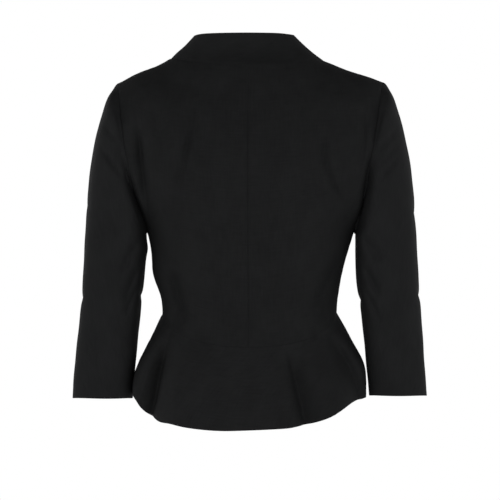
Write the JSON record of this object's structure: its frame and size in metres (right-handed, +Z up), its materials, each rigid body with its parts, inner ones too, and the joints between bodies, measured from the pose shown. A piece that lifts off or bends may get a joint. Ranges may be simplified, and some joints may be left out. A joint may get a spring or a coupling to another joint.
{
  "type": "fitted peplum jacket",
  "caption": "Fitted jacket in black suiting, hollow as if worn, with a funnel collar, set-in sleeves that end below the elbow, a shaped waist seam and a fluted peplum.",
  "frame": {"origin": "the middle of the neck hole, level with the points where the shoulder seams meet the collar, where the wearer's neck and shoulders hold the jacket", "axes": "+Z up along the wearer's neck, +Y out of the wearer's back, +X to the wearer's left"},
  "size_m": [0.5285, 0.2638, 0.5749],
  "materials": {
    "suiting": "matte, fine plain weave with a soft sheen",
    "button": "satin resin"
  },
  "bodies": {
    "root": {"back_left": "suiting", "back_right": "suiting", "front_left": "suiting", "front_right": "suiting", "sleeve_left": "suiting", "sleeve_right": "suiting", "collar": "suiting", "peplum_back": "suiting", "peplum_front_left": "suiting", "peplum_front_right": "suiting", "button_1": "button", "button_2": "button", "button_3": "button", "button_4": "button", "button_5": "button"}
  },
  "joints": []
}
